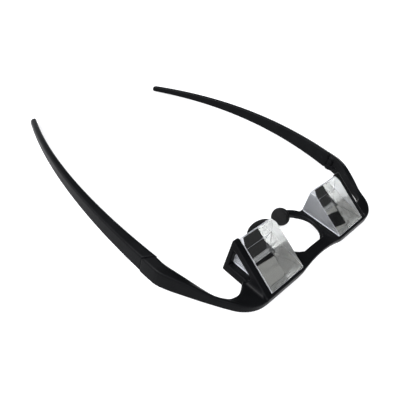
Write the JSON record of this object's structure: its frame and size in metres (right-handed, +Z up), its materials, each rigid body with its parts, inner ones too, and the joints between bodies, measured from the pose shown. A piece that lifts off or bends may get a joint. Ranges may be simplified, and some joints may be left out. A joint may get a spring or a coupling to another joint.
{
  "type": "belay glasses",
  "caption": "Belay glasses: black moulded frame with triangular side brackets, clear glass prisms for looking up, soft nose pads and folding temples.",
  "frame": {"origin": "centre of the bounding box on the table plane, under the nose pads and temple tips", "axes": "+X to the wearer's left, +Y from the prisms back along the temples, +Z up; the prisms' bases are level"},
  "size_m": [0.1598, 0.1787, 0.0277],
  "materials": {
    "frame_plastic": "satin moulded black",
    "prism_glass": "polished faces, ground sides",
    "mirror_backing": "silvered on its upper side",
    "adhesive": "cured black adhesive",
    "pad_rubber": "soft matte black",
    "screw_steel": "turned",
    "insert_brass": "turned"
  },
  "bodies": {
    "front": {"front_frame": "frame_plastic", "prism_right": "prism_glass", "prism_left": "prism_glass", "mirror_backing_right": "mirror_backing", "mirror_backing_left": "mirror_backing", "prism_bond_right": "adhesive", "prism_bond_left": "adhesive", "nose_pad_right": "pad_rubber", "nose_pad_left": "pad_rubber", "hinge_screw_right": "screw_steel", "hinge_screw_left": "screw_steel", "hinge_insert_right": "insert_brass", "hinge_insert_left": "insert_brass"},
    "right_arm": {"temple_right": "frame_plastic"},
    "left_arm": {"temple_left": "frame_plastic"}
  },
  "joints": [
    {"name": "temple_right_fold", "type": "hinge", "parent": "front", "child": "right_arm", "pos_m": [-0.0766, -0.04775, 0.014], "axis": [0, 0, -1], "range_deg": [0, 85]},
    {"name": "temple_left_fold", "type": "hinge", "parent": "front", "child": "left_arm", "pos_m": [0.0766, -0.04775, 0.014], "axis": [0, 0, 1], "range_deg": [0, 77]}
  ]
}
